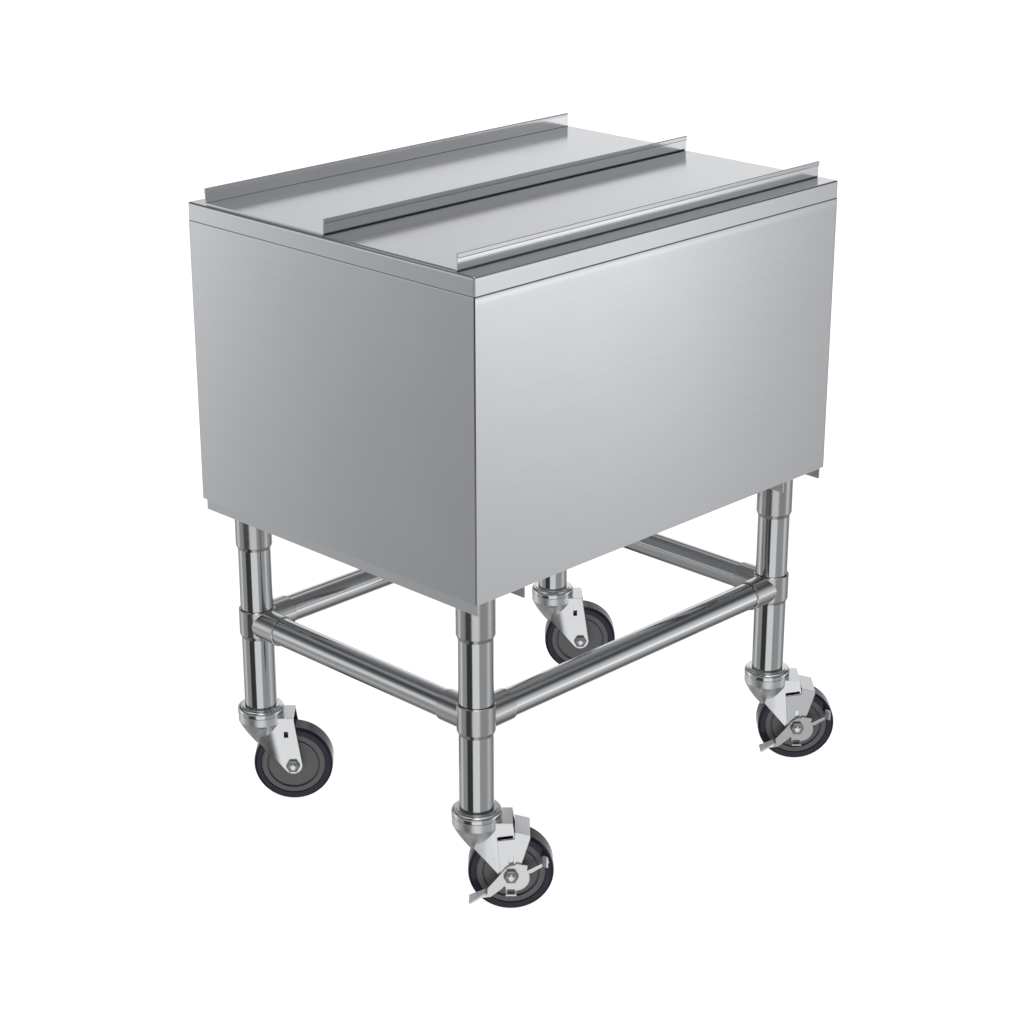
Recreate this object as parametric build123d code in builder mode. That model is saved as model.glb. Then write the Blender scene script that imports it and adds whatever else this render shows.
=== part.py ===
from build123d import *
import os
from math import cos, radians, sin

# Driving dimensions, in millimetres. The floor is Z = 0, the front of the bin faces -Y.

# Body
body_width = 630.0
body_depth = 482.0
body_height = 375.0  # underside to ledge
rim_height = 21.5  # skirt of the rim
rim_return = 11.0  # flange turned in under the skirt
ledge_width = 47.5  # outside of the rim to the mouth of the tank
sheet = 1.2  # panels, pan and covers
tank_sheet = 1.5
bend_radius = 2.0  # outside radius of a folded edge
front_bend_radius = 2.2  # fold along the top of the front and back panels
panel_flange = 10.0
panel_gap = 0.3
panel_edge_round = 1.0  # upright edges of the end panels
pan_flange = 20.0
tank_corner_radius = 15.0
tank_floor_radius = 12.0
mouth_radius = 1.2
floor_insulation = 42.0
foam_clearance = 0.2

# Covers
upright_height = 20.0
upright_inset = 28.5  # outside of the rim to the front and back uprights
middle_offset = 1.4  # middle upright behind the centre line
cover_side_inset = 3.7
hem_height = 5.8
hem_round = 1.0
cover_overlap = 12.0
cover_gap = 0.3
cover_travel = 180.0
guide_depth = 14.0
guide_gap = 1.5
rear_pad_width = 12.0

# Legs, sockets and rails
leg_diameter = 41.3
leg_wall = 1.5
leg_length = 280.0
leg_inset_x = 42.5  # outside of the body to the leg's axis
leg_inset_y = 44.0
slip_clearance = 0.1
fitting_wall = 2.25
end_taper = 5.0  # length of the tapered end of a collar or socket
end_lip = 0.4  # wall left at the end of the taper
socket_length = 63.0
channel_width = 76.0
channel_drop = 15.0
channel_sheet = 2.0
channel_bend = 3.0
channel_end_inset = 2.5
rail_diameter = 34.9
rail_wall = 1.5
rail_rise = 115.5  # foot of the leg to the rail's axis
sleeve_wall = 1.95
sleeve_reach = 49.5  # leg's axis to the mouth of a sleeve
sleeve_round = 1.2
collar_groove = 1.0  # open groove round the leg at a collar's top
rail_end_gap = 0.5
screw_radius = 4.0
screw_setback = 12.0  # from the mouth of a sleeve or socket
screw_proud = 1.5
screw_key = 4.0
screw_key_depth = 2.0
screw_clearance = 0.05

# Drain
drain_cup_radius = 30.0
drain_cup_depth = 14.0
drain_cup_wall = 1.5
drain_flange_radius = 38.0
drain_flange_thickness = 1.5
strainer_thickness = 1.2
strainer_drop = 3.0  # below the top of the cup's flange
strainer_hole_radius = 2.5
strainer_ring_step = 7.0
strainer_rings = 3
strainer_lugs = 3
lug_width = 4.0
lug_reach = 3.0
tail_radius = 13.35
tail_wall = 2.5
valve_top_drop = 14.0
valve_length = 66.0
valve_radius = 21.0
valve_bore_radius = 9.0
ball_radius = 14.5
ball_clearance = 0.1
seat_width = 3.0
seat_depth = 8.0
valve_shoulder = 1.5  # stop for the tail, above the upper seat
valve_stem_radius = 5.0
valve_chamfer = 2.0
valve_boss_radius = 9.0
valve_boss_reach = 30.0  # valve's axis to the face of the boss
stem_root_gap = 1.0  # ball's bore to the root of the stem
stem_clearance = 0.05
lever_gap = 0.4
lever_thickness = 2.5
lever_width = 16.0
lever_length = 86.0
lever_corner = 5.0
lever_set = 9.0  # how far the handle stands out past the stem end
nut_flats = 13.0
nut_thickness = 5.0
spigot_radius = 10.65
spigot_length = 26.0

# Casters
caster_angle = -45.0  # direction of trail, from +X towards -Y, as they stand at rest
caster_trail = 40.0
wheel_diameter = 101.6
wheel_width = 30.0
tread_thickness = 9.3
tread_round = 4.0
bond_clearance = 0.05
core_width = 28.0
hub_length = 33.0
hub_radius = 10.0
disc_recess = 1.0
groove_radius = 33.0
groove_width = 2.6
groove_depth = 2.0
core_lip = 1.0
bushing_radius = 6.3
bolt_radius = 4.75
bolt_flats = 15.5
bolt_head = 4.6
bolt_chamfer = 1.2
bolt_end = 2.2  # rounded end that stands out of the head
bolt_end_round = 2.0
axle_clearance = 0.05
fork_play = 1.0  # each side of the hub
fork_sheet = 2.5
fork_end_radius = 12.0
fork_reach = 2.2  # top plate past the axle, along the trail
fork_shoulder_drop = 2.8
fork_back_x = 6.4  # back end of the flat shoulder, over the foot of the horn
fork_heel_x = -4.0  # lower back corner of the leg plate
fork_heel_rise = 33.2
fork_slot_x = 7.8  # slot in the leg plate, before the axle
fork_slot_rise = 44.0
fork_slot_width = 5.0
fork_slot_height = 8.0
crease_top_x = 16.2  # fold line that turns the back of the leg plate inwards
crease_top_rise = 53.7
crease_low_x = 24.9
crease_low_rise = 6.9
crease_angle = 4.5
wheel_clearance = 3.5
crown_radius = 29.5
crown_room = 13.7  # tread to the underside of the crown
crown_thickness = 5.5
horn_straight = 10.8
horn_belly_drop = 27.8
horn_belly_back = 20.5
horn_belly_shift = 3.0
horn_belly_sink = 0.6  # below the outside of the leg plates
horn_length = 45.0
horn_tip_back = 6.0
horn_tip_sink = 2.7
race_gap = 0.5
race_height = 9.7
race_radius = 30.0
race_round = 4.0
race_seat_radius = 24.5
race_step = 1.5
stem_length = 42.0
stem_clearance_in_leg = 0.15
stem_chamfer = 3.0
kingpin_radius = 6.0
kingpin_head_radius = 11.0
kingpin_head = 3.2
kingpin_play = 0.3
track_radius = 21.5
bearing_ball_radius = 3.0
track_clearance = 0.1
balls_per_race = 16

# Brakes on the front casters
bracket_sheet = 2.0
bracket_bridge_length = 18.0
bracket_bridge_gap = 2.4
bracket_bridge_rise = 56.5  # over the axle, at the end near the leg
bracket_bridge_fall = 4.3  # along the bridge
bracket_skirt = 4.0  # side of the bridge, before the plate narrows
bracket_back_x = 16.0  # before the axle
bracket_back_rise = 44.7
bracket_back_fall = 2.6
bracket_foot_x = 12.7
bracket_waist_x = 12.6  # after the axle
bracket_waist_rise = 15.0
bracket_slot_height = 4.0
bracket_hole_rise = 18.4
bracket_hole_width = 5.6
bracket_hole_height = 12.0
brake_sheet = 2.2
brake_gap = 0.4
brake_disc_radius = 17.0
brake_disc_x = 5.0  # middle of the plate, after the axle
brake_disc_drop = 3.0
brake_foot_width = 13.0
brake_foot_drop = 24.5
brake_foot_depth = 5.0
brake_window_height = 4.0
pedal_root_x = 10.0  # pedal arm, before the axle
pedal_root_rise = 5.0
pedal_root_drop = 16.7
pedal_bend_x = 28.4
pedal_bend_drop = 17.4
pedal_arm_width = 11.7
pedal_length = 23.0
pedal_slope = 22.6
pedal_strip = 5.0
pedal_depth = 17.0
pedal_taper = 8.0
release_angle = 25.0
release_length = 48.0
release_root = 7.0
release_tip = 3.5
release_ear_x = 23.5  # pointed ear beside the arm
release_ear_rise = 4.0
release_ear_root = 12.0
release_notch_x = 20.0  # foot of the ear, at the arm
release_notch_drop = 1.75
release_tab_length = 7.0
release_tab_height = 5.5
bolt_seat_gap = 0.3

# Heights, from the floor up
axle_height = wheel_diameter / 2
crown_under = wheel_diameter + crown_room
crown_top = crown_under + crown_thickness
race_bottom = crown_top + race_gap
leg_foot = race_bottom + race_height
channel_under = leg_foot + leg_length
body_bottom = channel_under + channel_sheet
rim_top = body_bottom + body_height
skirt_bottom = rim_top - rim_height
rail_height = leg_foot + rail_rise
tank_floor = body_bottom + sheet + floor_insulation + tank_sheet
cover_level = rim_top + sheet + cover_gap  # underside of the rear cover
upright_top = rim_top + upright_height
valve_top = body_bottom - valve_top_drop
valve_bottom = valve_top - valve_length
ball_height = (valve_top + valve_bottom) / 2
ball_room = ball_radius + ball_clearance
seat_reach = ball_radius + seat_width
tail_bottom = ball_height + seat_reach + valve_shoulder

# Places in plan
half_width = body_width / 2
half_depth = body_depth / 2
mouth_x = half_width - ledge_width
mouth_y = half_depth - ledge_width
leg_x = half_width - leg_inset_x
leg_y = half_depth - leg_inset_y
front_upright = upright_inset - half_depth
rear_upright = half_depth - upright_inset
cover_half_width = half_width - cover_side_inset
collar_radius = leg_diameter / 2 + slip_clearance + fitting_wall
sleeve_radius = rail_diameter / 2 + slip_clearance + sleeve_wall
rail_start = collar_radius + rail_end_gap
corners = {
    "front_left": (-leg_x, -leg_y),
    "front_right": (leg_x, -leg_y),
    "back_left": (-leg_x, leg_y),
    "back_right": (leg_x, leg_y),
}
braked = ("front_left", "front_right")

os.makedirs("parts", exist_ok=True)


def save(piece, name):
    """Labels a finished piece and writes it under its own name."""
    piece.label = name
    export_step(piece, f"parts/{name}.step")


def inward(place):
    """Signs of the directions from a corner towards the middle of the bin."""
    return (-1 if place[0] > 0 else 1), (-1 if place[1] > 0 else 1)


def screw_way(x, y):
    """Direction that a socket's screw faces: backwards at the front legs, inwards at the back legs."""
    sx, sy = inward((x, y))
    return (0, sy, 0) if y < 0 else (sx, 0, 0)


def upright_plane(x, y):
    """Plane through a vertical axis, with its own Y along +Z, for turned profiles."""
    return Plane(origin=(x, y, 0), x_dir=(1, 0, 0), z_dir=(0, -1, 0))


# Tank and rim: one welded piece
def tank_block(grow):
    """The space inside the tank, grown by a wall or a clearance."""
    with BuildPart() as block:
        with BuildSketch(Plane.XY.offset(tank_floor - grow)):
            RectangleRounded(2 * (mouth_x + grow), 2 * (mouth_y + grow), tank_corner_radius + grow)
        extrude(amount=rim_top - tank_floor + grow)
        fillet(block.faces().sort_by(Axis.Z)[0].edges(), tank_floor_radius + grow)
    return block.part


with BuildPart() as ice_tank:
    with BuildSketch(Plane.XY.offset(skirt_bottom)):
        RectangleRounded(body_width, body_depth, bend_radius)
    extrude(amount=rim_height)
    fillet(ice_tank.faces().sort_by(Axis.Z)[-1].edges(), bend_radius)
    with BuildSketch(Plane.XY.offset(skirt_bottom + tank_sheet)):
        Rectangle(body_width - 2 * tank_sheet, body_depth - 2 * tank_sheet)
    extrude(amount=rim_height - 2 * tank_sheet, mode=Mode.SUBTRACT)
    with BuildSketch(Plane.XY.offset(skirt_bottom)):
        Rectangle(body_width - 2 * rim_return, body_depth - 2 * rim_return)
    extrude(amount=tank_sheet, mode=Mode.SUBTRACT)
    add(tank_block(tank_sheet))
    add(tank_block(0), mode=Mode.SUBTRACT)
    ledge = ice_tank.faces().sort_by(Axis.Z)[-1]
    fillet(ledge.inner_wires()[0].edges(), mouth_radius)
    with BuildSketch(Plane.XY.offset(tank_floor - tank_sheet)):
        Circle(drain_cup_radius + drain_cup_wall + slip_clearance)
    extrude(amount=tank_sheet, mode=Mode.SUBTRACT)
save(ice_tank.part, "ice_tank")


# Drain cup with its tail, welded into the tank floor
cup_top = tank_floor + drain_flange_thickness
cup_bottom = tank_floor - drain_cup_depth


def drain_outline(grow):
    """Outside of the cup and tail under the tank floor, grown by a clearance."""
    with BuildPart() as outline:
        with BuildSketch(Plane.XY.offset(cup_bottom - drain_cup_wall - grow)):
            Circle(drain_cup_radius + drain_cup_wall + grow)
        extrude(amount=drain_cup_depth + drain_cup_wall + grow)
        with BuildSketch(Plane.XY.offset(tail_bottom)):
            Circle(tail_radius + grow)
        extrude(amount=cup_bottom - tail_bottom)
    return outline.part


with BuildPart() as drain_cup:
    add(drain_outline(0))
    with BuildSketch(Plane.XY.offset(tank_floor)):
        Circle(drain_flange_radius)
    extrude(amount=drain_flange_thickness)
    with BuildSketch(Plane.XY.offset(cup_bottom)):
        Circle(drain_cup_radius)
    extrude(amount=cup_top - cup_bottom, mode=Mode.SUBTRACT)
    with BuildSketch(Plane.XY.offset(tail_bottom)):
        Circle(tail_radius - tail_wall)
    extrude(amount=cup_bottom - tail_bottom, mode=Mode.SUBTRACT)
    # lugs that the strainer rests on
    with BuildSketch(Plane.XY.offset(cup_bottom)):
        with PolarLocations(drain_cup_radius, strainer_lugs):
            Rectangle(lug_reach, lug_width, align=(Align.MAX, Align.CENTER))
    extrude(amount=cup_top - strainer_drop - strainer_thickness - cup_bottom)
save(drain_cup.part, "drain_cup")

with BuildPart() as drain_strainer:
    with BuildSketch(Plane.XY.offset(cup_top - strainer_drop - strainer_thickness)):
        Circle(drain_cup_radius - slip_clearance)
        Circle(strainer_hole_radius, mode=Mode.SUBTRACT)
        for ring in range(1, strainer_rings + 1):
            with PolarLocations(ring * strainer_ring_step, 6 * ring):
                Circle(strainer_hole_radius, mode=Mode.SUBTRACT)
    extrude(amount=strainer_thickness)
save(drain_strainer.part, "drain_strainer")


# Insulation between the tank and the outer panels
foam_inset = 2 * sheet + foam_clearance
neck_inset = max(rim_return, panel_flange) + foam_clearance

with BuildPart() as insulation:
    with BuildSketch(Plane.XY.offset(body_bottom + sheet)):
        Rectangle(body_width - 2 * foam_inset, body_depth - 2 * foam_inset)
    extrude(amount=skirt_bottom - sheet - foam_clearance - body_bottom - sheet)
    chamfer(insulation.faces().sort_by(Axis.Z)[0].edges(), bend_radius)
    chamfer(insulation.faces().sort_by(Axis.Z)[-1].edges(), front_bend_radius)
    with BuildSketch(Plane.XY.offset(body_bottom + sheet)):
        Rectangle(body_width - 2 * neck_inset, body_depth - 2 * neck_inset)
    extrude(amount=rim_top - tank_sheet - foam_clearance - body_bottom - sheet)
    add(tank_block(tank_sheet + foam_clearance), mode=Mode.SUBTRACT)
    add(drain_outline(foam_clearance), mode=Mode.SUBTRACT)
save(insulation.part, "insulation")


# Outer panels: folded sheets whose top flange lies under the rim's return
with BuildPart() as front_panel:
    with BuildSketch(Plane.YZ):
        with BuildLine():
            FilletPolyline(
                (-half_depth, body_bottom),
                (-half_depth, skirt_bottom),
                (panel_flange - half_depth, skirt_bottom),
                radius=front_bend_radius,
            )
            offset(amount=sheet, side=Side.RIGHT)
        make_face()
    extrude(amount=half_width - sheet - panel_gap, both=True)
save(front_panel.part, "front_panel")

with BuildPart() as back_panel:
    mirror(front_panel.part, about=Plane.XZ)
save(back_panel.part, "back_panel")

notch_depth = max(panel_flange, front_bend_radius) + panel_gap

with BuildPart() as left_end_panel:
    with BuildSketch(Plane.XZ):
        with BuildLine():
            FilletPolyline(
                (-half_width, body_bottom),
                (-half_width, skirt_bottom),
                (panel_flange - half_width, skirt_bottom),
                radius=bend_radius,
            )
            offset(amount=sheet, side=Side.RIGHT)
        make_face()
    extrude(amount=half_depth, both=True)
    # notches that leave room for the flanges of the front and back panels
    with BuildSketch(Plane.XY.offset(skirt_bottom)):
        for side in (-1, 1):
            with Locations((sheet - half_width, side * half_depth)):
                Rectangle(panel_flange, 2 * notch_depth, align=(Align.MIN, Align.CENTER))
    extrude(amount=-front_bend_radius, mode=Mode.SUBTRACT)
    fillet(left_end_panel.edges().filter_by(Axis.Z).group_by(Axis.X)[0], panel_edge_round)
save(left_end_panel.part, "left_end_panel")

with BuildPart() as right_end_panel:
    mirror(left_end_panel.part, about=Plane.YZ)
save(right_end_panel.part, "right_end_panel")

# Bottom pan: a shallow tray inside the panels
with BuildPart() as bottom_pan:
    with BuildSketch(Plane.XY.offset(body_bottom)):
        Rectangle(body_width - 2 * sheet, body_depth - 2 * sheet)
    extrude(amount=pan_flange)
    fillet(bottom_pan.faces().sort_by(Axis.Z)[0].edges(), bend_radius)
    offset(amount=-sheet, openings=bottom_pan.faces().sort_by(Axis.Z)[-1])
    with BuildSketch(Plane.XY.offset(body_bottom)):
        Circle(tail_radius + slip_clearance)
    extrude(amount=sheet, mode=Mode.SUBTRACT)
save(bottom_pan.part, "bottom_pan")


# Covers: the front one slides back under the rear one, which lifts off
front_sheet_end = middle_offset + cover_overlap
slide_half_width = cover_half_width - sheet - cover_gap
guide_x = mouth_x - guide_gap - sheet / 2
hem_foot = upright_top - hem_height
guide_start = tank_corner_radius - mouth_y
guide_length = 2 * (mouth_y - tank_corner_radius) - cover_travel

with BuildPart() as front_cover:
    with BuildSketch(Plane.YZ):
        with BuildLine():
            FilletPolyline(
                (front_upright, upright_top),
                (front_upright, rim_top),
                (front_sheet_end, rim_top),
                radius=bend_radius,
            )
            offset(amount=sheet, side=Side.LEFT)
        make_face()
        with Locations((front_upright, upright_top)):
            Rectangle(sheet, hem_height, align=(Align.MAX, Align.MAX))
    extrude(amount=cover_half_width, both=True)
    fillet(front_cover.faces().sort_by(Axis.Z)[-1].edges().filter_by(Axis.X), hem_round)
    hem_edges = front_cover.edges().filter_by(Axis.X)
    hem_edges = hem_edges.filter_by_position(Axis.Z, hem_foot - hem_round / 2, hem_foot + hem_round / 2)
    fillet(hem_edges.sort_by(Axis.Y)[0], hem_round)
    # the sheet is narrower than the upright, to pass between the rear cover's side folds
    with BuildSketch(Plane.XY.offset(rim_top)):
        for side in (-1, 1):
            with Locations((side * cover_half_width, front_upright + 2 * bend_radius)):
                Rectangle(
                    2 * (cover_half_width - slide_half_width),
                    front_sheet_end - front_upright,
                    align=(Align.CENTER, Align.MIN),
                )
    extrude(amount=sheet, mode=Mode.SUBTRACT)
    # guides that run inside the mouth of the tank
    with BuildSketch(Plane.XY.offset(rim_top - guide_depth)):
        for side in (-1, 1):
            with Locations((side * guide_x, guide_start)):
                Rectangle(sheet, guide_length, align=(Align.CENTER, Align.MIN))
    extrude(amount=guide_depth)
save(front_cover.part, "front_cover")

with BuildPart() as rear_cover:
    with BuildSketch(Plane.YZ):
        with BuildLine():
            FilletPolyline(
                (middle_offset, upright_top),
                (middle_offset, cover_level),
                (rear_upright, cover_level),
                (rear_upright, upright_top),
                radius=bend_radius,
            )
            offset(amount=sheet, side=Side.LEFT)
        make_face()
        with Locations((middle_offset, upright_top)):
            Rectangle(sheet, hem_height, align=(Align.MAX, Align.MAX))
        with Locations((rear_upright, upright_top)):
            Rectangle(sheet, hem_height, align=(Align.MIN, Align.MAX))
    extrude(amount=cover_half_width, both=True)
    fillet(rear_cover.edges().group_by(Axis.Z)[-1].filter_by(Axis.X), hem_round)
    hem_edges = rear_cover.edges().filter_by(Axis.X)
    hem_edges = hem_edges.filter_by_position(Axis.Z, hem_foot - hem_round / 2, hem_foot + hem_round / 2)
    fillet((hem_edges.sort_by(Axis.Y)[0], hem_edges.sort_by(Axis.Y)[-1]), hem_round)
    # side folds and a doubled rear hem, which carry the cover on the ledge
    with BuildSketch(Plane.XY.offset(rim_top)):
        for side in (-1, 1):
            with Locations((side * (cover_half_width - sheet / 2), middle_offset + bend_radius)):
                Rectangle(
                    sheet,
                    rear_upright - middle_offset - 2 * bend_radius,
                    align=(Align.CENTER, Align.MIN),
                )
        with Locations((0, rear_upright - bend_radius)):
            Rectangle(2 * cover_half_width, rear_pad_width, align=(Align.CENTER, Align.MAX))
    extrude(amount=cover_level + sheet - rim_top)
save(rear_cover.part, "rear_cover")


# Channels under the body, one at each end, that carry the legs
def leg_channel(x):
    """Folded channel, open below, with its web against the bottom pan."""
    low = body_bottom - channel_drop
    with BuildPart() as channel:
        with BuildSketch(Plane.XZ):
            with BuildLine():
                FilletPolyline(
                    (x - channel_width / 2, low),
                    (x - channel_width / 2, body_bottom),
                    (x + channel_width / 2, body_bottom),
                    (x + channel_width / 2, low),
                    radius=channel_bend,
                )
                offset(amount=channel_sheet, side=Side.RIGHT)
            make_face()
        extrude(amount=half_depth - channel_end_inset, both=True)
    return channel.part


save(leg_channel(-leg_x), "left_leg_channel")
save(leg_channel(leg_x), "right_leg_channel")


# Sockets, legs, corner fittings and rails
def leg_socket(x, y):
    """Collar welded under a channel, with a tapered mouth and a screw hole facing inwards."""
    mouth_z = channel_under - socket_length
    bore = leg_diameter / 2 + slip_clearance
    with BuildPart() as socket:
        with BuildSketch(upright_plane(x, y)):
            with BuildLine():
                Polyline(
                    (bore, channel_under),
                    (collar_radius, channel_under),
                    (collar_radius, mouth_z + end_taper),
                    (bore + end_lip, mouth_z),
                    (bore, mouth_z),
                    close=True,
                )
            make_face()
        revolve(axis=Axis((x, y, 0), (0, 0, 1)))
        with BuildSketch(Plane(origin=(x, y, mouth_z + screw_setback), z_dir=screw_way(x, y))):
            Circle(screw_radius + screw_clearance)
        extrude(amount=2 * collar_radius, mode=Mode.SUBTRACT)
    return socket.part


def leg_tube(x, y):
    """Plain tube from the caster's race up to the web of the channel."""
    with BuildPart() as leg:
        with BuildSketch(Plane.XY.offset(leg_foot)):
            with Locations((x, y)):
                Circle(leg_diameter / 2)
                Circle(leg_diameter / 2 - leg_wall, mode=Mode.SUBTRACT)
        extrude(amount=leg_length)
    return leg.part


def corner_fitting(x, y):
    """Three-way corner: a collar round the leg and a sleeve for each of two rails."""
    bore = leg_diameter / 2 + slip_clearance
    half = sleeve_radius
    sx, sy = inward((x, y))
    with BuildPart() as fitting:
        with BuildSketch(upright_plane(x, y)):
            with BuildLine():
                Polyline(
                    (0, rail_height - half),
                    (bore + end_lip, rail_height - half),
                    (collar_radius, rail_height - half + end_taper),
                    (collar_radius, rail_height + half - sleeve_round),
                    (collar_radius - sleeve_round, rail_height + half),
                    (0, rail_height + half),
                    close=True,
                )
            make_face()
        revolve(axis=Axis((x, y, 0), (0, 0, 1)))
        for way in ((sx, 0, 0), (0, sy, 0)):
            with BuildSketch(Plane(origin=(x, y, rail_height), z_dir=way)):
                Circle(sleeve_radius)
            extrude(amount=sleeve_reach)
            mouth = fitting.faces().sort_by(Axis((x, y, rail_height), way))[-1]
            chamfer(mouth.edges(), sleeve_round)
        for way in ((sx, 0, 0), (0, sy, 0)):
            start = Vector(x, y, rail_height) + Vector(way) * (rail_start - rail_end_gap)
            with BuildSketch(Plane(origin=start, z_dir=way)):
                Circle(rail_diameter / 2 + slip_clearance)
            extrude(amount=sleeve_reach, mode=Mode.SUBTRACT)
            screw = Vector(x, y, rail_height) + Vector(way) * (sleeve_reach - screw_setback)
            with BuildSketch(Plane(origin=screw, z_dir=(0, 0, -1))):
                Circle(screw_radius + screw_clearance)
            extrude(amount=2 * sleeve_radius, mode=Mode.SUBTRACT)
        with BuildSketch(Plane.XY.offset(rail_height - half)):
            with Locations((x, y)):
                Circle(bore)
        extrude(amount=2 * half, mode=Mode.SUBTRACT)
        with BuildSketch(Plane.XY.offset(rail_height + half)):
            with Locations((x, y)):
                Circle(bore + collar_groove)
        extrude(amount=-2 * collar_groove, mode=Mode.SUBTRACT)
    return fitting.part


for name, (x, y) in corners.items():
    save(leg_socket(x, y), f"leg_socket_{name}")
    save(leg_tube(x, y), f"leg_{name}")
    save(corner_fitting(x, y), f"corner_fitting_{name}")


def rail(start, way, length):
    """Plain tube between two corner fittings."""
    with BuildPart() as tube:
        with BuildSketch(Plane(origin=start, z_dir=way)):
            Circle(rail_diameter / 2)
            Circle(rail_diameter / 2 - rail_wall, mode=Mode.SUBTRACT)
        extrude(amount=length)
    return tube.part


across = 2 * (leg_x - rail_start)
along = 2 * (leg_y - rail_start)
save(rail((rail_start - leg_x, -leg_y, rail_height), (1, 0, 0), across), "front_rail")
save(rail((rail_start - leg_x, leg_y, rail_height), (1, 0, 0), across), "back_rail")
save(rail((-leg_x, rail_start - leg_y, rail_height), (0, 1, 0), along), "left_rail")
save(rail((leg_x, rail_start - leg_y, rail_height), (0, 1, 0), along), "right_rail")


# Set screws of the sockets and sleeves, one group
def screw_places():
    """Outer end of each set screw, its plane's normal pointing outwards, with the screw's length."""
    socket_screw = fitting_wall + slip_clearance + screw_proud - screw_clearance
    sleeve_screw = sleeve_wall + slip_clearance + screw_proud - screw_clearance
    places = []
    for x, y in corners.values():
        sx, sy = inward((x, y))
        level = channel_under - socket_length + screw_setback
        way = Vector(screw_way(x, y))
        head = Vector(x, y, level) + way * (collar_radius + screw_proud)
        places.append((Plane(origin=head, z_dir=way), socket_screw))
        drop = rail_height - sleeve_radius - screw_proud
        reach = sleeve_reach - screw_setback
        for place in ((x + sx * reach, y, drop), (x, y + sy * reach, drop)):
            places.append((Plane(origin=place, z_dir=(0, 0, -1)), sleeve_screw))
    return places


with BuildPart() as set_screws:
    for plane, length in screw_places():
        with BuildSketch(plane):
            Circle(screw_radius)
        extrude(amount=-length)
        with BuildSketch(plane):
            RegularPolygon(screw_key / 2, 6, major_radius=False)
        extrude(amount=-screw_key_depth, mode=Mode.SUBTRACT)
save(set_screws.part, "set_screws")


# Drain valve: a ball valve on the tail, closed as drawn, with its lever towards +X
with BuildPart() as drain_valve_body:
    with BuildSketch(Plane.XY.offset(valve_bottom)):
        Circle(valve_radius)
    extrude(amount=valve_length)
    chamfer(drain_valve_body.faces().filter_by(GeomType.PLANE).edges(), valve_chamfer)
    with BuildSketch(Plane.XY.offset(valve_bottom - spigot_length)):
        Circle(spigot_radius)
    extrude(amount=spigot_length)
    with BuildSketch(Plane(origin=(0, 0, ball_height), z_dir=(0, -1, 0))):
        Circle(valve_boss_radius)
    extrude(amount=valve_boss_reach)
    with BuildSketch(Plane.XY.offset(ball_height - seat_reach)):
        Circle(ball_room)
    extrude(amount=2 * seat_reach, mode=Mode.SUBTRACT)
    with BuildSketch(Plane.XY.offset(valve_bottom - spigot_length)):
        Circle(valve_bore_radius)
    extrude(amount=valve_length + spigot_length, mode=Mode.SUBTRACT)
    with BuildSketch(Plane.XY.offset(tail_bottom)):
        Circle(tail_radius + slip_clearance)
    extrude(amount=valve_top - tail_bottom, mode=Mode.SUBTRACT)
    with BuildSketch(Plane(origin=(0, 0, ball_height), z_dir=(0, -1, 0))):
        Circle(valve_stem_radius + stem_clearance)
    extrude(amount=valve_boss_reach, mode=Mode.SUBTRACT)
save(drain_valve_body.part, "drain_valve_body")

with BuildPart() as drain_valve_seats:
    for side in (-1, 1):
        with BuildSketch(Plane.XY.offset(ball_height + side * seat_reach)):
            Circle(ball_room - slip_clearance)
            Circle(valve_bore_radius, mode=Mode.SUBTRACT)
        extrude(amount=-side * seat_depth)
    with Locations((0, 0, ball_height)):
        Sphere(ball_room, mode=Mode.SUBTRACT)
save(drain_valve_seats.part, "drain_valve_seats")

lever_back = valve_boss_reach + lever_gap
stem_root = valve_bore_radius + stem_root_gap
stem_end = lever_back + lever_thickness + nut_thickness

with BuildPart() as drain_valve_ball:
    with Locations((0, 0, ball_height)):
        Sphere(ball_radius)
    with BuildSketch(Plane(origin=(0, 0, ball_height), z_dir=(1, 0, 0))):
        Circle(valve_bore_radius)
    extrude(amount=ball_radius, both=True, mode=Mode.SUBTRACT)
    with BuildSketch(Plane(origin=(0, -stem_root, ball_height), z_dir=(0, -1, 0))):
        Circle(valve_stem_radius)
    extrude(amount=stem_end - stem_root)
save(drain_valve_ball.part, "drain_valve_ball")

with BuildPart() as drain_valve_lever:
    with BuildSketch(Plane.XY.offset(ball_height - lever_width / 2)):
        with BuildLine():
            FilletPolyline(
                (-lever_width / 2, -lever_back),
                (lever_width, -lever_back),
                (lever_width + lever_set, -lever_back - lever_set),
                (lever_length, -lever_back - lever_set),
                radius=2 * lever_thickness,
            )
            offset(amount=lever_thickness, side=Side.RIGHT)
        make_face()
    extrude(amount=lever_width)
    fillet(drain_valve_lever.edges().filter_by(Axis.Y), lever_corner)
    with BuildSketch(Plane(origin=(0, 0, ball_height), z_dir=(0, -1, 0))):
        Circle(valve_stem_radius + slip_clearance)
    extrude(amount=stem_end, mode=Mode.SUBTRACT)
save(drain_valve_lever.part, "drain_valve_lever")

with BuildPart() as drain_lever_nut:
    with BuildSketch(Plane(origin=(0, -lever_back - lever_thickness, ball_height), z_dir=(0, -1, 0))):
        RegularPolygon(nut_flats / 2, 6, major_radius=False)
        Circle(valve_stem_radius + slip_clearance, mode=Mode.SUBTRACT)
    extrude(amount=nut_thickness)
save(drain_lever_nut.part, "drain_lever_nut")


# Casters. Each is drawn about its leg's axis: trail along its own X, axle along its own Y.
trail_way = Vector(cos(radians(caster_angle)), sin(radians(caster_angle)), 0)
axle_way = Vector(0, 0, 1).cross(trail_way)
fork_inside = hub_length / 2 + fork_play
fork_outside = fork_inside + fork_sheet
bracket_outside = fork_outside + bracket_sheet
core_radius = wheel_diameter / 2 - tread_thickness
bearing_level = (crown_top + race_bottom) / 2
shoulder_top = crown_top - fork_shoulder_drop


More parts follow.
